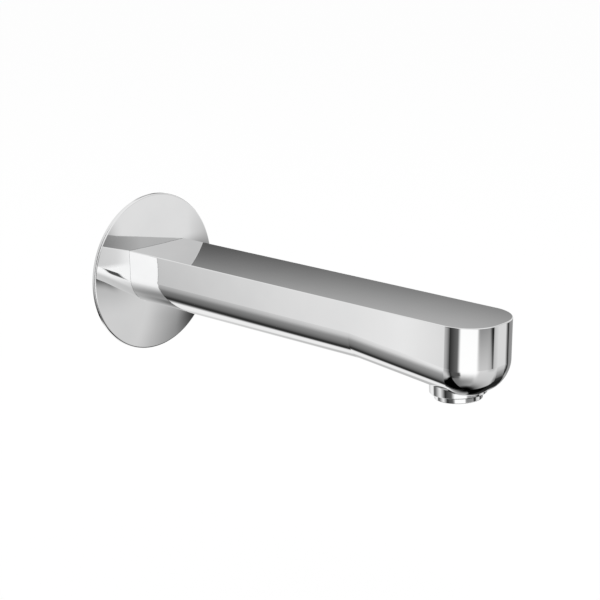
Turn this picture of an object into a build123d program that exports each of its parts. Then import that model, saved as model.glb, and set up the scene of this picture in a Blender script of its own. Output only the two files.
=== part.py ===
"""Wall mounted bath spout: chromed cast arm, domed wall flange, push-on wall nipple and screw-in aerator.

Millimetres. The wall is the plane Y = 0 and the spout reaches out along -Y, with +Z up.
The origin is where the inlet axis meets the wall. A "reach" is a distance from the wall.
"""
from build123d import *
from math import ceil, cos, radians, sin, sqrt, tan
import os

# Wall flange: a shallow dome pressed from sheet, with a straight rim
flange_diameter = 70.0
flange_rim = 1.65
flange_crown = 2.5
flange_sheet = 0.8
flange_edge = 0.7
flange_gap = 0.05

# Gasket behind the flange
gasket_from_arm = 1.5
gasket_from_rim = 2.5
gasket_gap = 0.05

# Arm of the casting
arm_width = 32.8
arm_height = 25.3
arm_reach = 187.8
arm_wall_gap = 1.0
underside_round = 13.4
nose_corner = 14.0
crease_from_nose = 60.5
underside_fall = 5.2
top_edge = 0.4

# Waterway inside the casting
casting_wall = 3.2
channel_round = 3.0
outlet_chamber_length = 16.9
outlet_roof = 2.0

# Outlet boss under the nose, tilted outwards
outlet_from_nose = 18.9
boss_stand = 1.2
outlet_tilt = 3.7
boss_diameter = 22.0
boss_height = 8.0
boss_edge = 0.3

# Aerator housing, a ring that screws into the boss
aerator_thread_diameter = 18.5
aerator_thread_length = 7.5
aerator_thread_start = 0.4
aerator_ring_diameter = 18.4
aerator_ring_drop = 2.3
aerator_wall = 1.25
aerator_lip_width = 0.8
aerator_lip_height = 0.9
aerator_edge = 0.3
aerator_gap = 0.05

# Pieces held inside the aerator housing
washer_thickness = 1.5
washer_bore = 12.6
grid_thickness = 2.0
grid_cell = 1.5
grid_bar = 0.35
grid_border = 0.6
insert_wall = 0.9
ledge_width = 0.6
ledge_height = 0.8
jet_plate_thickness = 1.4
jet_diameter = 0.9
jet_ring_pitch = 2.15
jet_ring_count = 2
holes_in_first_ring = 6
strainer_skin = 0.6
strainer_crown = 10.0
strainer_rise = 1.4
strainer_draft = 20.0
strainer_hole = 1.0
strainer_ring_pitch = 1.7
strainer_ring_count = 2

# Wall nipple: G 1/2 thread for the wall, smooth spigot for the arm
inlet_thread_diameter = 20.955
inlet_thread_length = 18.0
inlet_thread_chamfer = 1.2
thread_relief_length = 1.5
thread_relief_depth = 1.5
spigot_reach = 27.0
spigot_chamfer = 1.0
nipple_bore = 11.6
key_size = 12.0
key_depth = 9.0
socket_wall = 2.65
socket_gap = 0.1
socket_spare = 1.5

# O-rings on the spigot, drawn as squeezed
o_ring_reaches = {"rear_o_ring": 13.5, "front_o_ring": 19.0}
o_ring_section = 1.6
o_ring_groove_width = 2.2
o_ring_gap = 0.02

# Grub screw that locks the arm on the spigot
grub_reach = 7.0
grub_diameter = 5.0
grub_point = 0.8
grub_groove_depth = 1.8
grub_sunk = 0.3
grub_key_size = 2.5
grub_key_depth = 1.8
grub_gap = 0.05

# Places that follow from the sizes above
arm_top = arm_height / 2
arm_bottom = -arm_height / 2
crease_reach = arm_reach - crease_from_nose
outlet_reach = arm_reach - outlet_from_nose
outlet_chamber_reach = outlet_reach - outlet_chamber_length
flange_radius = flange_diameter / 2
crown_radius = (flange_radius**2 + flange_crown**2) / (2 * flange_crown)
crown_centre = crown_radius - flange_crown - flange_rim
socket_radius = arm_height / 2 - socket_wall
spigot_radius = socket_radius - socket_gap
socket_reach = spigot_reach + socket_spare
o_ring_outer = socket_radius - o_ring_gap
o_ring_groove = o_ring_outer - o_ring_section - o_ring_gap
thread_radius = aerator_thread_diameter / 2
ring_radius = aerator_ring_diameter / 2
housing_bore = ring_radius - aerator_wall
insert_radius = housing_bore - aerator_gap
insert_bore = insert_radius - insert_wall
fall = radians(underside_fall)
tilt = radians(outlet_tilt)
outlet_drop = arm_height / 2 + (outlet_reach - crease_reach) * tan(fall) + boss_stand

# The crease plane halves the bend, so both runs of the arm meet in the same section
crease = Plane(
    origin=(0, -crease_reach, arm_bottom),
    x_dir=(1, 0, 0),
    z_dir=(0, -cos(fall / 2), -sin(fall / 2)),
)
falling_underside = Plane(
    origin=(0, -crease_reach, arm_bottom),
    x_dir=(1, 0, 0),
    z_dir=(0, -sin(fall), cos(fall)),
)

# The outlet plane is the face of the boss, and its Z points out of the spout
outlet = Plane(
    origin=(0, -outlet_reach, -outlet_drop),
    x_dir=(1, 0, 0),
    z_dir=(0, -sin(tilt), -cos(tilt)),
)
outlet_axis = Axis(outlet.origin, outlet.z_dir)
outlet_profile = Plane(
    origin=outlet.origin,
    x_dir=outlet.x_dir,
    z_dir=outlet.x_dir.cross(outlet.z_dir),
)


def at_reach(reach):
    """Upright plane across the arm, facing away from the wall."""
    return Plane(origin=(0, -reach, 0), x_dir=(1, 0, 0), z_dir=(0, -1, 0))


def arm_section(plane, grow, top_round):
    """Section of the arm, grown all round: flat top, upright sides, broadly rounded underside."""
    with BuildSketch(plane) as section:
        Rectangle(arm_width + 2 * grow, arm_height + 2 * grow)
        fillet(section.vertices().group_by(Axis.Y)[0], underside_round + grow)
        fillet(section.vertices().group_by(Axis.Y)[-1], top_round)
    return section.sketch


def arm_plan(height, grow, start):
    """Plan of the arm from a reach to the nose, grown all round, with rounded nose corners."""
    with BuildSketch(Plane.XY.offset(height)) as plan:
        with Locations((0, -arm_reach - grow)):
            Rectangle(arm_width + 2 * grow, arm_reach + grow - start, align=(Align.CENTER, Align.MIN))
        fillet(plan.vertices().group_by(Axis.Y)[0], nose_corner + grow)
    return plan.sketch


def dome(radius, inset):
    """Y of the flange's dome at a radius, or of a surface that lies inset behind it."""
    return crown_centre - sqrt((crown_radius - inset) ** 2 - radius**2)


def ring_profile(inner, outer, low, high):
    """Square profile of a ring on the outlet axis, between two distances below the boss face."""
    with BuildSketch(outlet_profile) as profile:
        with Locations(((inner + outer) / 2, (low + high) / 2)):
            Rectangle(outer - inner, high - low)
    return profile.sketch


# Outer form of the arm behind the crease
with BuildPart() as rear_run:
    extrude(arm_section(at_reach(arm_wall_gap), 0, top_edge), amount=arm_reach)
    split(bisect_by=crease, keep=Keep.BOTTOM)

# Outer form in front of the crease: rounded nose over the falling underside
with BuildPart() as nose_run:
    extrude(arm_plan(arm_top, 0, 0), amount=-2 * arm_height)
    split(bisect_by=falling_underside, keep=Keep.TOP)
    for level, radius in ((0, underside_round), (-1, top_edge)):
        rim = nose_run.faces().sort_by(Axis.Z)[level].edges().sort_by(Axis.Y)
        fillet(rim[:-1], radius)
    split(bisect_by=crease, keep=Keep.TOP)

# Outlet boss, which comes out of the underside towards the wall and runs into it towards the nose
with BuildPart() as outlet_boss:
    with BuildSketch(outlet):
        Circle(boss_diameter / 2)
    extrude(amount=-boss_height)
    chamfer(outlet_boss.edges().sort_by(outlet_axis)[-1], boss_edge)

# The casting: outer form, boss, inlet socket, waterway, outlet and grub screw hole
chamber_floor = (
    -outlet_drop
    + (aerator_thread_length + washer_thickness + outlet_roof) * cos(tilt)
    + boss_diameter / 2 * sin(tilt)
)
with BuildPart() as spout_body:
    add(rear_run.part)
    add(nose_run.part)
    add(outlet_boss.part)
    with BuildSketch(at_reach(arm_wall_gap)):
        Circle(socket_radius)
    extrude(amount=socket_reach - arm_wall_gap, mode=Mode.SUBTRACT)
    extrude(
        arm_section(at_reach(socket_reach), -casting_wall, channel_round),
        amount=outlet_chamber_reach - socket_reach,
        mode=Mode.SUBTRACT,
    )
    extrude(
        arm_plan(chamber_floor, -casting_wall, outlet_chamber_reach),
        amount=arm_top - casting_wall - chamber_floor,
        mode=Mode.SUBTRACT,
    )
    with BuildSketch(outlet.offset(-aerator_thread_length - washer_thickness)):
        Circle(thread_radius + aerator_gap)
    extrude(amount=outlet_drop, mode=Mode.SUBTRACT)
    with BuildSketch(outlet):
        Circle(washer_bore / 2)
    extrude(amount=-outlet_drop, mode=Mode.SUBTRACT)
    with BuildSketch(Plane.XY.offset(arm_bottom)):
        with Locations((0, -grub_reach)):
            Circle(grub_diameter / 2 + grub_gap)
    extrude(amount=arm_height / 2, mode=Mode.SUBTRACT)

# Domed flange with the opening that the arm passes through
with BuildPart() as wall_flange:
    with BuildSketch(Plane.XY):
        with BuildLine():
            inner_radius = flange_radius - flange_sheet
            outer_dome = ThreePointArc(
                (flange_radius, dome(flange_radius, 0)),
                (flange_radius / 2, dome(flange_radius / 2, 0)),
                (0, dome(0, 0)),
            )
            inner_dome = ThreePointArc(
                (inner_radius, dome(inner_radius, flange_sheet)),
                (inner_radius / 2, dome(inner_radius / 2, flange_sheet)),
                (0, dome(0, flange_sheet)),
            )
            Polyline(outer_dome @ 0, (flange_radius, 0), (inner_radius, 0), inner_dome @ 0)
            Line(outer_dome @ 1, inner_dome @ 1)
        make_face()
    revolve(axis=Axis.Y)
    rims = wall_flange.edges().filter_by(lambda edge: edge.is_closed).group_by(SortBy.RADIUS)[-1]
    fillet(rims.sort_by(Axis.Y)[0], flange_edge)
    extrude(
        arm_section(at_reach(0), flange_gap, top_edge + flange_gap),
        amount=flange_radius,
        mode=Mode.SUBTRACT,
    )

# Foam pad between the flange and the wall, with an opening round the arm
with BuildPart() as flange_gasket:
    with BuildSketch(Plane.XY):
        with BuildLine():
            gasket_radius = flange_radius - gasket_from_rim
            inset = flange_sheet + gasket_gap
            gasket_face = ThreePointArc(
                (gasket_radius, dome(gasket_radius, inset)),
                (gasket_radius / 2, dome(gasket_radius / 2, inset)),
                (0, dome(0, inset)),
            )
            Polyline(gasket_face @ 0, (gasket_radius, 0), (0, 0), gasket_face @ 1)
        make_face()
    revolve(axis=Axis.Y)
    extrude(
        arm_section(at_reach(0), gasket_from_arm, top_edge + gasket_from_arm),
        amount=flange_radius,
        mode=Mode.SUBTRACT,
    )

# Turned nipple, its grooves and its key socket
with BuildPart() as wall_nipple:
    with BuildSketch(Plane.XY):
        with BuildLine():
            bore = nipple_bore / 2
            thread = inlet_thread_diameter / 2
            relief = thread - thread_relief_depth
            Polyline(
                (bore, inlet_thread_length),
                (thread - inlet_thread_chamfer, inlet_thread_length),
                (thread, inlet_thread_length - inlet_thread_chamfer),
                (thread, 0),
                (relief, 0),
                (relief, -thread_relief_length),
                (spigot_radius, -thread_relief_length),
                (spigot_radius, -spigot_reach + spigot_chamfer),
                (spigot_radius - spigot_chamfer, -spigot_reach),
                (bore, -spigot_reach),
                close=True,
            )
        make_face()
        for reach in o_ring_reaches.values():
            with Locations((o_ring_groove, -reach)):
                Rectangle(
                    socket_radius,
                    o_ring_groove_width,
                    align=(Align.MIN, Align.CENTER),
                    mode=Mode.SUBTRACT,
                )
        with BuildLine():
            Polyline(
                (spigot_radius, -grub_reach + grub_groove_depth),
                (spigot_radius - grub_groove_depth, -grub_reach),
                (spigot_radius, -grub_reach - grub_groove_depth),
                close=True,
            )
        make_face(mode=Mode.SUBTRACT)
    revolve(axis=Axis.Y)
    with BuildSketch(at_reach(spigot_reach)):
        RegularPolygon(key_size / 2, 6, major_radius=False)
    extrude(amount=-key_depth, mode=Mode.SUBTRACT)

# Socket set screw, its point in the nipple's groove
with BuildPart() as grub_screw:
    grub_tip = -(spigot_radius - grub_groove_depth + grub_point / 2 + grub_gap)
    grub_head = arm_bottom + grub_sunk
    with BuildSketch(Plane.XY.offset(grub_head)):
        with Locations((0, -grub_reach)):
            Circle(grub_diameter / 2)
    extrude(amount=grub_tip - grub_head)
    point_edge = grub_screw.edges().filter_by(GeomType.CIRCLE).sort_by(Axis.Z)[-1]
    chamfer(point_edge, (grub_diameter - grub_point) / 2)
    with BuildSketch(Plane.XY.offset(grub_head)):
        with Locations((0, -grub_reach)):
            RegularPolygon(grub_key_size / 2, 6, major_radius=False)
    extrude(amount=grub_key_depth, mode=Mode.SUBTRACT)

# Aerator, stacked from its mouth up to its seat in the body
mouth = aerator_ring_drop
grid_low = mouth - aerator_lip_height
grid_high = grid_low - grid_thickness
stack_top = -aerator_thread_length
jet_high = stack_top + strainer_skin
jet_low = jet_high + jet_plate_thickness
with BuildPart() as aerator_housing:
    revolve(ring_profile(housing_bore, ring_radius, stack_top, mouth), axis=outlet_axis)
    revolve(ring_profile(housing_bore, thread_radius, stack_top, -aerator_thread_start), axis=outlet_axis)
    revolve(ring_profile(housing_bore - aerator_lip_width, ring_radius, grid_low, mouth), axis=outlet_axis)
    mouth_edges = aerator_housing.edges().filter_by(GeomType.CIRCLE).group_by(outlet_axis)[-1]
    fillet(mouth_edges, aerator_edge)

with BuildPart() as aerator_outlet_grid:
    with BuildSketch(outlet.offset(grid_low)):
        Circle(insert_radius)
        cell_pitch = grid_cell + grid_bar
        across = 2 * ceil(insert_radius / cell_pitch) + 1
        cells = HexLocations(cell_pitch / 2, across, across, major_radius=False).local_locations
        reach_of_cells = insert_radius - grid_border - grid_cell / sqrt(3)
        with Locations(*[cell for cell in cells if cell.position.length < reach_of_cells]):
            RegularPolygon(grid_cell / 2, 6, major_radius=False, rotation=30, mode=Mode.SUBTRACT)
    extrude(amount=-grid_thickness)

with BuildPart() as aerator_insert:
    revolve(ring_profile(insert_bore, insert_radius, stack_top, grid_high), axis=outlet_axis)
    revolve(
        ring_profile(insert_bore - ledge_width, insert_radius, jet_low, jet_low + ledge_height),
        axis=outlet_axis,
    )

with BuildPart() as aerator_jet_plate:
    with BuildSketch(outlet.offset(jet_low)):
        Circle(insert_bore - aerator_gap)
        for ring in range(1, jet_ring_count + 1):
            with PolarLocations(ring * jet_ring_pitch, ring * holes_in_first_ring):
                Circle(jet_diameter / 2, mode=Mode.SUBTRACT)
    extrude(amount=-jet_plate_thickness)

with BuildPart() as aerator_strainer:
    with BuildSketch(outlet.offset(jet_high)):
        Circle(insert_bore - aerator_gap)
    extrude(amount=-strainer_skin)
    with BuildSketch(outlet.offset(stack_top)):
        Circle(strainer_crown / 2)
    extrude(amount=-strainer_rise, taper=strainer_draft)
    with BuildSketch(outlet.offset(jet_high)):
        Circle(strainer_crown / 2 - strainer_skin)
    extrude(amount=-strainer_rise, taper=strainer_draft, mode=Mode.SUBTRACT)
    with BuildSketch(outlet.offset(jet_high)):
        for ring in range(1, strainer_ring_count + 1):
            with PolarLocations(ring * strainer_ring_pitch, ring * holes_in_first_ring):
                Circle(strainer_hole / 2)
    extrude(amount=-strainer_rise - strainer_skin, mode=Mode.SUBTRACT)

with BuildPart() as aerator_washer:
    revolve(
        ring_profile(washer_bore / 2, thread_radius, stack_top - washer_thickness, stack_top),
        axis=outlet_axis,
    )

pieces = {
    "spout_body": spout_body,
    "wall_flange": wall_flange,
    "flange_gasket": flange_gasket,
    "wall_nipple": wall_nipple,
    "grub_screw": grub_screw,
    "aerator_housing": aerator_housing,
    "aerator_outlet_grid": aerator_outlet_grid,
    "aerator_insert": aerator_insert,
    "aerator_jet_plate": aerator_jet_plate,
    "aerator_strainer": aerator_strainer,
    "aerator_washer": aerator_washer,
}

# Two O-rings of the same size
for name, reach in o_ring_reaches.items():
    with BuildPart() as o_ring:
        with BuildSketch(Plane.XY):
            with Locations((o_ring_outer - o_ring_section / 2, -reach)):
                Circle(o_ring_section / 2)
        revolve(axis=Axis.Y)
    pieces[name] = o_ring

os.makedirs("parts", exist_ok=True)
for name, piece in pieces.items():
    piece.part.label = name
    export_step(piece.part, f"parts/{name}.step")
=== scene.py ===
import math

import bpy
import numpy as np
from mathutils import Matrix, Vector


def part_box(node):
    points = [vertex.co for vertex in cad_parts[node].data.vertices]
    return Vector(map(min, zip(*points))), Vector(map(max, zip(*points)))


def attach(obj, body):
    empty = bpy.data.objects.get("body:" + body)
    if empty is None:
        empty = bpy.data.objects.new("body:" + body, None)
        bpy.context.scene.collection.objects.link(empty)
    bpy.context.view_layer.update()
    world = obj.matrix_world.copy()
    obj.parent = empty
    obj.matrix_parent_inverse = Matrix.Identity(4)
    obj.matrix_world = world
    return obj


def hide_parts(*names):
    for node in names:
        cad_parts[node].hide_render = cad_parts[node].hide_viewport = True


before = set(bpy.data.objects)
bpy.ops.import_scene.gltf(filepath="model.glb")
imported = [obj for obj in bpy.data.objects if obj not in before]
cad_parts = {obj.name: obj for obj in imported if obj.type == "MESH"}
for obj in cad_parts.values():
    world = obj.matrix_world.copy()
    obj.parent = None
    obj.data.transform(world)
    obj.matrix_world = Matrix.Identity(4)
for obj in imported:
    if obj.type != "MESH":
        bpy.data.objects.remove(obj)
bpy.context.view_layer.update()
mm = 0.001
print("frame loaded:", len(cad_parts), "nodes")


def greyLevel(shade):  # screen grey from 0 to 255, turned into linear light by the sRGB curve
    level = shade / 255
    return level / 12.92 if level <= 0.04045 else ((level + 0.055) / 1.055) ** 2.4


# Camera: the spout seen from its left front and a little above, with no lens shift
viewpoint = {
    "turn": -48.0,  # degrees round the spout, 0 looks at the wall
    "rise": 15.684,  # degrees above level
    "distance": 593.36 * mm,
    "aim": (-18.37 * mm, -105.0 * mm, 9.93 * mm),
    "focalPixels": 1516.8,  # focal length in pixels of the picture
    "pictureWidth": 600,
    "sensor": 36.0,
}


def addCamera(setup):
    turn = math.radians(setup["turn"])
    rise = math.radians(setup["rise"])
    away = np.array((math.sin(turn) * math.cos(rise), -math.cos(turn) * math.cos(rise), math.sin(rise)))
    lens = bpy.data.cameras.new("photoCamera")
    lens.sensor_width = setup["sensor"]
    lens.lens = setup["focalPixels"] / setup["pictureWidth"] * setup["sensor"]
    camera = bpy.data.objects.new("photoCamera", lens)
    camera.location = np.array(setup["aim"]) + away * setup["distance"]
    camera.rotation_euler = (math.pi / 2 - rise, 0, turn)
    bpy.context.scene.collection.objects.link(camera)
    bpy.context.scene.camera = camera
    print("camera: lens", round(lens.lens, 1))


# Helpers that add shader nodes, where a value may be a number or another node's output
class NodeMaker:
    def __init__(self, tree):
        self.tree = tree
        tree.nodes.clear()

    def add(self, kind, **settings):
        node = self.tree.nodes.new(kind)
        for name, value in settings.items():
            setattr(node, name, value)
        return node

    def feed(self, socket, value):
        if isinstance(value, bpy.types.NodeSocket):
            self.tree.links.new(value, socket)
        else:
            socket.default_value = value

    def math(self, operation, *values):
        node = self.add("ShaderNodeMath", operation=operation)
        for socket, value in zip(node.inputs, values):
            self.feed(socket, value)
        return node.outputs[0]

    def stretch(self, value, start, end, low, high, smooth=False):  # start..end becomes low..high
        node = self.add("ShaderNodeMapRange", interpolation_type="SMOOTHSTEP" if smooth else "LINEAR")
        for socket, given in zip(node.inputs, (value, start, end, low, high)):
            self.feed(socket, given)
        return node.outputs[0]

    def edge(self, value, place, soft):  # 0 before a place and 1 after it, over a soft width
        return self.stretch(value, place - soft / 2, place + soft / 2, 0, 1, smooth=True)

    def between(self, value, start, end):  # 1 from start to end, each a place and its soft width
        return self.math("SUBTRACT", self.edge(value, *start), self.edge(value, *end))

    def blend(self, share, first, second):
        node = self.add("ShaderNodeMix", data_type="FLOAT")
        for socket, value in zip((node.inputs[0], node.inputs[2], node.inputs[3]), (share, first, second)):
            self.feed(socket, value)
        return node.outputs[0]

    def blendShaders(self, share, first, second):
        node = self.add("ShaderNodeMixShader")
        for socket, value in zip(node.inputs, (share, first.outputs[0], second.outputs[0])):
            self.feed(socket, value)
        return node

    def ramp(self, share, stops):  # stops are (place from 0 to 1, colour)
        node = self.add("ShaderNodeValToRGB")
        elements = node.color_ramp.elements
        while len(elements) < len(stops):
            elements.new(0.5)  # its own place follows below
        for element, (place, colour) in zip(elements, stops):
            element.position = place
            element.color = (*colour, 1)
        self.feed(node.inputs[0], share)
        return node.outputs["Color"]

    def output(self, kind, shader):
        self.feed(self.add(kind).inputs["Surface"], shader.outputs[0])


def newMaterial(name):
    material = bpy.data.materials.new(name)
    material.use_nodes = True
    return material, NodeMaker(material.node_tree)


def addMesh(name, points, quads, material):
    mesh = bpy.data.meshes.new(name)
    mesh.from_pydata(np.reshape(points, (-1, 3)).tolist(), [], np.reshape(quads, (-1, 4)).tolist())
    mesh.materials.append(material)
    piece = bpy.data.objects.new(name, mesh)
    bpy.context.scene.collection.objects.link(piece)
    return piece


def showInMirrorsOnly(piece):  # seen in the chrome and nowhere else
    piece.visible_camera = False
    piece.visible_diffuse = False
    piece.visible_shadow = False


# Studio tent round the spout, as polished metal sees it: a pale cloth with soft boxes and dark flags on it.
# Places on it are in degrees, seen from its middle near the nose. "surround" is the cloth's shade by height.
# A panel's middle is "at" a compass direction, where 0 looks at the wall and 90 along +X. "half" is half its
# width and "soft" the soft width of its sides. "from" and "to" are the heights of its lower and upper edges,
# each with its own soft width. "shades" are screen greys at its left and right. "lean" tilts its sides,
# "slope" its lower and upper edges, and "cover" below 1 lets what lies behind it through.
studio = {
    "middle": (0, -170 * mm, -20 * mm),
    "radius": 700 * mm,
    "columns": 120,
    "rows": 60,
    "surround": [
        (-90, 0), (-82, 3), (-77, 45), (-72, 105), (-64, 150), (-56, 178), (-45, 198),
        (-25, 208), (-8, 219), (10, 223), (40, 228), (90, 235),
    ],
    "panels": {
        "frontFloor": {"at": -115, "half": 42, "soft": 22, "from": (-70, 10), "to": (-28, 10),
                       "shades": (158, 104)},
        "frontSoftbox": {"at": -132.5, "half": 30, "soft": 15, "from": (-37, 40), "to": (12, 10),
                         "shades": (255, 255)},
        "frontShade": {"at": -158, "half": 18, "soft": 8, "from": (-11.5, 1.6), "to": (8, 8),
                       "shades": (150, 225)},
        "leftFlag": {"at": -86, "half": 17.5, "soft": 12, "from": (-44.5, 6), "to": (45, 20),
                     "shades": (106, 0)},
        "leftReturn": {"at": -38, "half": 27, "soft": 9, "from": (-70, 10), "to": (25, 20),
                       "shades": (244, 168)},
        "leftRise": {"at": -61, "half": 9.5, "soft": 3, "from": (-46, 10), "to": (25, 20),
                     "shades": (95, 234)},
        "leftFade": {"at": -42, "half": 30, "soft": 6, "from": (-100, 1), "to": (-23, 30),
                     "shades": (195, 45), "slope": 1},
        "leftFloor": {"at": -43, "half": 33, "soft": 6, "from": (-100, 1), "to": (-48, 5),
                      "shades": (2, 2), "slope": -0.3},
        "leftLine": {"at": -14, "half": 8, "soft": 8, "from": (-100, 1), "to": (-24, 12),
                     "shades": (45, 45), "lean": -0.2},
        "backSoftbox": {"at": -1, "half": 14, "soft": 14, "from": (-58, 8), "to": (8, 6),
                        "shades": (238, 234), "lean": -0.5},
        "backShade": {"at": 44, "half": 18, "soft": 14, "from": (-48, 8), "to": (-31, 4),
                      "shades": (184, 186)},
        "rightFlag": {"at": 64, "half": 28, "soft": 8, "from": (-100, 1), "to": (-31, 8),
                      "shades": (60, 5), "lean": -0.6},
        "rightFloor": {"at": 64, "half": 30, "soft": 8, "from": (-100, 1), "to": (-54, 10),
                       "shades": (3, 3), "lean": -0.6},
        "rightPanel": {"at": 84, "half": 22, "soft": 10, "from": (-29, 6), "to": (-6, 8),
                       "shades": (154, 137)},
        "rightFall": {"at": 119, "half": 12, "soft": 14, "from": (-44, 12), "to": (-22, 10),
                      "shades": (95, 206)},
        "rimFall": {"at": 107, "half": 9, "soft": 3, "from": (-11, 3), "to": (-3, 10),
                    "shades": (130, 216)},
        "rightLine": {"at": 110, "half": 6, "soft": 9, "from": (-42, 10), "to": (-9.5, 6),
                      "shades": (45, 45), "lean": 0.42},
        "frontEdge": {"at": 174, "half": 26, "soft": 10, "from": (-14.8, 8), "to": (6, 10),
                      "shades": (106, 80)},
        "tipFade": {"at": 149, "half": 13, "soft": 18, "from": (-22, 10), "to": (-8, 4),
                    "shades": (155, 155), "cover": 0.55},
        "tipLine": {"at": 154, "half": 9, "soft": 5, "from": (-15.2, 4), "to": (-8, 3),
                    "shades": (15, 60), "slope": 0.33},
        "frontSky": {"at": 130, "half": 28, "soft": 8, "from": (8, 3), "to": (45, 20),
                     "shades": (196, 210)},
        "frontCard": {"at": 139, "half": 19, "soft": 6, "from": (8, 2), "to": (15, 4),
                      "shades": (180, 176)},
        "cardFall": {"at": 147, "half": 11, "soft": 4, "from": (8, 2), "to": (15, 4),
                     "shades": (178, 84)},
        "backSky": {"at": 45, "half": 22, "soft": 10, "from": (8, 4), "to": (45, 20),
                    "shades": (172, 182)},
        "backFlag": {"at": 45, "half": 18, "soft": 8, "from": (2, 4), "to": (16.8, 5),
                     "shades": (66, 92), "slope": 0.15},
        "ceilingFlag": {"at": -72, "half": 14, "soft": 6, "from": (12, 8), "to": (60, 20),
                        "shades": (60, 75)},
    },
    "leanHeight": -17,  # the height at which a leaning panel's middle is where "at" says
    "strength": 1.07,  # makes up for the light that the chrome takes
}


def panelCover(make, compass, height, panel, leanHeight):  # degrees off a panel's middle, and its share there
    lean = panel.get("lean", 0)
    middle = make.math("MULTIPLY_ADD", height, lean, panel["at"] - lean * leanHeight)
    offset = make.math("WRAP", make.math("SUBTRACT", compass, middle), 180, -180)
    side = make.edge(make.math("ABSOLUTE", offset), panel["half"], panel["soft"])
    level = make.math("MULTIPLY_ADD", offset, -panel.get("slope", 0), height)
    upright = make.between(level, panel["from"], panel["to"])
    cover = make.math("MULTIPLY", make.math("SUBTRACT", 1, side), upright)
    return offset, make.math("MULTIPLY", cover, panel.get("cover", 1))


def tentCloth(setup):  # glowing cloth that carries the panels, a later one over an earlier one
    cloth, make = newMaterial("tentCloth")
    cloth.cycles.emission_sampling = "NONE"
    outward = make.add("ShaderNodeVectorMath", operation="SUBTRACT")
    make.feed(outward.inputs[0], make.add("ShaderNodeTexCoord").outputs["Object"])
    outward.inputs[1].default_value = setup["middle"]
    unit = make.add("ShaderNodeVectorMath", operation="NORMALIZE")
    make.feed(unit.inputs[0], outward.outputs[0])
    parts = make.add("ShaderNodeSeparateXYZ")
    make.feed(parts.inputs[0], unit.outputs[0])
    across, inward, upward = parts.outputs
    compass = make.math("DEGREES", make.math("ARCTAN2", across, inward))
    height = make.math("DEGREES", make.math("ARCSINE", upward))
    stops = [((angle + 90) / 180, (greyLevel(shade),) * 3) for angle, shade in setup["surround"]]
    light = make.ramp(make.stretch(height, -90, 90, 0, 1), stops)
    for panel in setup["panels"].values():
        offset, cover = panelCover(make, compass, height, panel, setup["leanHeight"])
        left, right = panel["shades"]
        shade = make.stretch(offset, -panel["half"], panel["half"], greyLevel(left), greyLevel(right))
        light = make.blend(cover, light, shade)
    glow = make.add("ShaderNodeEmission")
    make.feed(glow.inputs["Color"], light)
    glow.inputs["Strength"].default_value = setup["strength"]
    make.output("ShaderNodeOutputMaterial", glow)
    return cloth


# Tent point = middle + radius * (cos height * sin compass, cos height * cos compass, sin height)
def addTent(setup):
    compass = np.arange(setup["columns"]) * 2 * np.pi / setup["columns"]
    height = np.linspace(-np.pi / 2, np.pi / 2, setup["rows"] + 1)[:, None]
    level = np.cos(height)
    shape = (level * np.sin(compass), level * np.cos(compass), np.sin(height) + 0 * compass)
    points = np.stack(shape, axis=-1) * setup["radius"] + setup["middle"]
    index = np.arange(points.size // 3).reshape(points.shape[:2])
    following = np.roll(index, -1, axis=1)
    quads = np.stack((index[:-1], following[:-1], following[1:], index[1:]), axis=-1)
    tent = addMesh("studioTent", points, quads, tentCloth(setup))
    showInMirrorsOnly(tent)
    print("studio tent:", len(setup["panels"]), "panels")


# Small dark card that stands left of the nose, with soft edges.
# The flange's left mirrors it in the arm's side, as the thin dark line there.
sideCard = {
    "across": -97 * mm,
    "front": -206 * mm,
    "back": -160 * mm,
    "low": -74 * mm,
    "high": -44 * mm,
    "soft": 14 * mm,
    "shade": 80,
}


# Card: one upright rectangle at a fixed X, which reaches past its soft edges
def addSideCard(plan):
    soft = plan["soft"]
    cloth, make = newMaterial("cardCloth")
    parts = make.add("ShaderNodeSeparateXYZ")
    make.feed(parts.inputs[0], make.add("ShaderNodeTexCoord").outputs["Object"])
    along = make.between(parts.outputs["Y"], (plan["front"], soft), (plan["back"], soft))
    upright = make.between(parts.outputs["Z"], (plan["low"], soft), (plan["high"], soft))
    cover = make.math("MULTIPLY", along, upright)
    clear = make.add("ShaderNodeBsdfTransparent")
    glow = make.add("ShaderNodeEmission")
    glow.inputs["Strength"].default_value = greyLevel(plan["shade"])
    make.output("ShaderNodeOutputMaterial", make.blendShaders(cover, clear, glow))
    depths = (plan["front"] - soft, plan["back"] + soft)
    heights = (plan["low"] - soft, plan["high"] + soft)
    points = [(plan["across"], y, z) for y in depths for z in heights]
    card = addMesh("sideCard", points, (0, 1, 3, 2), cloth)
    showInMirrorsOnly(card)
    print("side card: shade", plan["shade"])


# White room: the world is white to the camera, and lights the matt pieces a little less brightly
whiteRoom = {"backdrop": 1.0, "light": 0.8}


def addWorld(setup):
    world = bpy.data.worlds.new("whiteRoom")
    bpy.context.scene.world = world
    world.use_nodes = True
    make = NodeMaker(world.node_tree)
    ray = make.add("ShaderNodeLightPath")
    background = make.add("ShaderNodeBackground")
    level = make.blend(ray.outputs["Is Camera Ray"], setup["light"], setup["backdrop"])
    make.feed(background.inputs["Color"], level)
    make.output("ShaderNodeOutputWorld", background)
    print("white room: light", setup["light"])


# Pale floor well below the spout: it shows as white where nothing shades it, and keeps the shadow
floorPlan = {"height": -150 * mm, "halfSize": 6.0, "colour": 0.96, "glow": 0.93}


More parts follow.
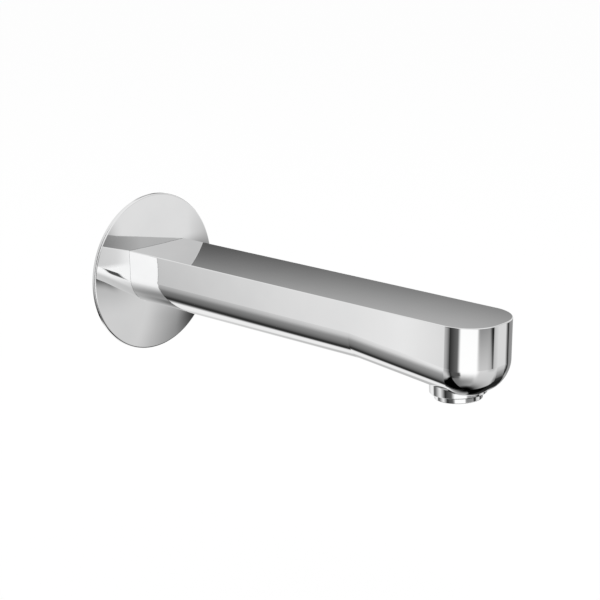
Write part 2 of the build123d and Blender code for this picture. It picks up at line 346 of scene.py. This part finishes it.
# Floor: one level square round the origin
def addFloor(plan):
    material, make = newMaterial("paleFloor")
    paint = make.add("ShaderNodeBsdfDiffuse")
    paint.inputs["Color"].default_value = (plan["colour"],) * 3 + (1,)
    glow = make.add("ShaderNodeEmission")
    ray = make.add("ShaderNodeLightPath")
    glowShare = make.math("MULTIPLY", ray.outputs["Is Camera Ray"], plan["glow"])
    make.output("ShaderNodeOutputMaterial", make.blendShaders(glowShare, paint, glow))
    corners = np.array([(-1, -1), (1, -1), (1, 1), (-1, 1)]) * plan["halfSize"]
    points = np.column_stack((corners, np.full(len(corners), plan["height"])))
    floor = addMesh("studioFloor", points, (0, 1, 2, 3), material)
    floor.visible_glossy = False
    print("floor: at height", plan["height"])


# Overhead soft box: gives the floor its soft shadow, and the chrome doesn't mirror it
overheadLamp = {"place": (0, -0.1, 1.2), "size": 1.6, "watts": 9.0}


def addLamp(setup):
    lamp = bpy.data.lights.new("overheadSoftbox", "AREA")
    lamp.size = setup["size"]
    lamp.energy = setup["watts"]
    holder = bpy.data.objects.new("overheadSoftbox", lamp)
    holder.location = setup["place"]
    holder.visible_glossy = False
    bpy.context.scene.collection.objects.link(holder)
    print("overhead soft box:", setup["watts"], "watts")


# Finishes: each has two colours and two roughnesses that a fine pattern moves between, and a shallow relief
finishes = {
    "mirrorChrome": {
        "colours": ((0.91, 0.912, 0.915), (0.945, 0.945, 0.945)), "metal": 1.0, "rough": (0.018, 0.045),
        "grain": 60, "relief": 0.0,
    },
    "turnedBrass": {
        "colours": ((0.60, 0.40, 0.15), (0.83, 0.62, 0.28)), "metal": 1.0, "rough": (0.2, 0.36),
        "grain": 500, "relief": 0.004 * mm, "rings": 0.3 * mm,
    },
    "sealRubber": {
        "colours": ((0.010, 0.010, 0.011), (0.026, 0.026, 0.027)), "metal": 0.0, "rough": (0.45, 0.62),
        "grain": 2500, "relief": 0.01 * mm,
    },
    "padFoam": {
        "colours": ((0.035, 0.036, 0.038), (0.10, 0.10, 0.105)), "metal": 0.0, "rough": (0.8, 0.95),
        "grain": 1800, "relief": 0.12 * mm, "cells": True,
    },
    "screwSteel": {
        "colours": ((0.34, 0.34, 0.35), (0.52, 0.52, 0.53)), "metal": 1.0, "rough": (0.22, 0.4),
        "grain": 1500, "relief": 0.006 * mm,
    },
    "mouldedPlastic": {
        "colours": ((0.60, 0.61, 0.62), (0.70, 0.71, 0.72)), "metal": 0.0, "rough": (0.32, 0.46),
        "grain": 1600, "relief": 0.006 * mm,
    },
}

# The fine pattern that the finishes share
finePattern = {
    "detail": 4,
    "ringWobble": 3.0,  # radians that the grain shifts a tool mark
    "ringShare": 0.6,
    "span": (0.3, 0.7),  # the part of the pattern's range that goes from one colour to the other
}


def makeFinish(name):
    finish = finishes[name]
    material, make = newMaterial(name)
    place = make.add("ShaderNodeTexCoord").outputs["Object"]
    if finish.get("cells"):  # closed foam cells
        pattern = make.add("ShaderNodeTexVoronoi")
        share = pattern.outputs["Distance"]
    else:
        pattern = make.add("ShaderNodeTexNoise")
        pattern.inputs["Detail"].default_value = finePattern["detail"]
        share = pattern.outputs["Fac"]
    make.feed(pattern.inputs["Vector"], place)
    pattern.inputs["Scale"].default_value = finish["grain"]
    if "rings" in finish:  # tool marks round the turning axis, which lies along Y
        parts = make.add("ShaderNodeSeparateXYZ")
        make.feed(parts.inputs[0], place)
        turns = make.math("MULTIPLY", parts.outputs["Y"], 2 * math.pi / finish["rings"])
        wave = make.math("SINE", make.math("MULTIPLY_ADD", share, finePattern["ringWobble"], turns))
        share = make.blend(finePattern["ringShare"], share, make.stretch(wave, -1, 1, 0, 1))
    shader = make.add("ShaderNodeBsdfPrincipled")
    shader.inputs["Metallic"].default_value = finish["metal"]
    spread = make.stretch(share, *finePattern["span"], 0, 1)
    dark, light = finish["colours"]
    make.feed(shader.inputs["Base Color"], make.ramp(spread, [(0, dark), (1, light)]))
    make.feed(shader.inputs["Roughness"], make.stretch(spread, 0, 1, *finish["rough"]))
    if finish["relief"]:
        bump = make.add("ShaderNodeBump")
        bump.inputs["Distance"].default_value = finish["relief"]
        make.feed(bump.inputs["Height"], share)
        make.feed(shader.inputs["Normal"], bump.outputs[0])
    make.output("ShaderNodeOutputMaterial", shader)
    return material


# Wall nipple: turned brass with the turns of its pipe thread, which the CAD leaves as a plain cylinder.
# The thread starts at Y = 0, and reaches are measured from there along the spigot.
nipple = {
    "pitch": 1.814 * mm,
    "threadDepth": 1.162 * mm,
    "flankGain": 1.3,  # above 1 it leaves narrow flats at crest and root
    "flankRounding": 0.35,
    "rowsPerTurn": 20,
    "columns": 120,
    "threadChamfer": 1.2 * mm,
    "threadLead": 0.8 * mm,
    "reliefRadius": 8.9775 * mm,
    "reliefLength": 1.5 * mm,
    "spigotRadius": 9.9 * mm,
    "spigotChamfer": 1.0 * mm,
    "boreRadius": 5.8 * mm,
    "keyHalfWidth": 6.0 * mm,
    "keyDepth": 9.0 * mm,
    "grooveRadius": 8.36 * mm,
    "grooveHalfWidth": 1.1 * mm,
    "grooveReaches": (19.0 * mm, 13.5 * mm),
    "lockReach": 7.0 * mm,
    "lockDepth": 1.8 * mm,
    "sharpAngle": 32,  # degrees between two faces, past which their edge is sharp
}


# Thread radius = crest - depth * rounded saw of (Y / pitch - turn), kept under a cone at each end
def threadRows(size, angle, threadEnd, crest):
    rowGap = size["pitch"] / size["rowsPerTurn"]
    threadY = np.linspace(0, threadEnd, int(threadEnd / rowGap) + 1)
    phase = threadY[:, None] / size["pitch"] - angle / (2 * np.pi)
    saw = 2 * np.abs(phase - np.floor(phase) - 0.5)  # 1 at the root, 0 at the crest
    flank = np.clip((saw - 0.5) * size["flankGain"] + 0.5, 0, 1)
    flank += (flank**2 * (3 - 2 * flank) - flank) * size["flankRounding"]
    leadCone = threadY + crest - size["threadLead"]
    endCone = threadEnd - threadY + crest - size["threadChamfer"]
    cones = np.minimum(leadCone, endCone)[:, None]
    return threadY, np.minimum(crest - size["threadDepth"] * flank, cones)


# Corners (Y, radius) of the turned spigot, from its end to the thread
def spigotSection(size, spigotEnd):
    spigot, chamfer = size["spigotRadius"], size["spigotChamfer"]
    section = [(spigotEnd, spigot - chamfer), (spigotEnd + chamfer, spigot)]
    groove, halfWidth = size["grooveRadius"], size["grooveHalfWidth"]
    for reach in size["grooveReaches"]:  # seats of the two O-rings
        near, far = -reach - halfWidth, -reach + halfWidth
        section += [(near, spigot), (near, groove), (far, groove), (far, spigot)]
    lock, lockDepth = -size["lockReach"], size["lockDepth"]  # groove for the grub screw's point
    section += [(lock - lockDepth, spigot), (lock, spigot - lockDepth), (lock + lockDepth, spigot)]
    relief, reliefStart = size["reliefRadius"], -size["reliefLength"]
    section += [(reliefStart, spigot), (reliefStart, relief), (0, relief)]
    return np.array(section)


# Point = (radius * cos angle, Y, radius * sin angle), where the rows go once round the metal:
# thread, end face, bore, hexagon, spigot and back to the thread.
# Hexagon radius = half width / cosine of the angle from the middle of its flat.
def threadedNipple(size):
    low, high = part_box("wall_nipple")
    spigotEnd, threadEnd, crest = low[1], high[1], high[2]
    angle = np.arange(size["columns"]) * 2 * np.pi / size["columns"]
    threadY, threadRadius = threadRows(size, angle, threadEnd, crest)
    keyStart = spigotEnd + size["keyDepth"]
    bore = np.array([(threadEnd, size["boreRadius"]), (keyStart, size["boreRadius"])])
    sixth = np.pi / 3
    hexagon = size["keyHalfWidth"] / np.cos((angle + sixth / 2) % sixth - sixth / 2)
    spigot = spigotSection(size, spigotEnd)
    around = np.ones(size["columns"])
    rowsY = np.concatenate((threadY, bore[:, 0], [keyStart, spigotEnd], spigot[:, 0]))[:, None] * around
    rowsRadius = np.vstack((threadRadius, bore[:, 1:] * around, hexagon, hexagon, spigot[:, 1:] * around))
    points = np.stack((rowsRadius * np.cos(angle), rowsY, rowsRadius * np.sin(angle)), axis=-1)
    index = np.arange(rowsRadius.size).reshape(rowsRadius.shape)
    nextRow = np.roll(index, -1, axis=0)
    quads = np.stack((index, nextRow, np.roll(nextRow, -1, axis=1), np.roll(index, -1, axis=1)), axis=-1)
    piece = addMesh("threadedNipple", points, quads, makeFinish("turnedBrass"))
    piece.data.shade_smooth()
    piece.data.set_sharp_from_angle(angle=math.radians(size["sharpAngle"]))
    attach(piece, "root")
    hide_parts("wall_nipple")
    print("threaded nipple:", len(piece.data.polygons), "faces")


# Which finish each CAD piece has
dressing = {
    "mirrorChrome": ("spout_body", "wall_flange", "aerator_housing"),
    "sealRubber": ("front_o_ring", "rear_o_ring", "aerator_washer"),
    "padFoam": ("flange_gasket",),
    "screwSteel": ("grub_screw",),
    "mouldedPlastic": ("aerator_insert", "aerator_jet_plate", "aerator_strainer", "aerator_outlet_grid"),
}


def dressPieces(plan):
    for finishName, nodeNames in plan.items():
        material = makeFinish(finishName)
        for nodeName in nodeNames:
            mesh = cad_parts[nodeName].data
            mesh.materials.clear()
            mesh.materials.append(material)
        print("dressed in", finishName + ":", ", ".join(nodeNames))


addCamera(viewpoint)
addTent(studio)
addSideCard(sideCard)
addWorld(whiteRoom)
addFloor(floorPlan)
addLamp(overheadLamp)
dressPieces(dressing)
threadedNipple(nipple)
bpy.context.scene.view_settings.view_transform = "Standard"
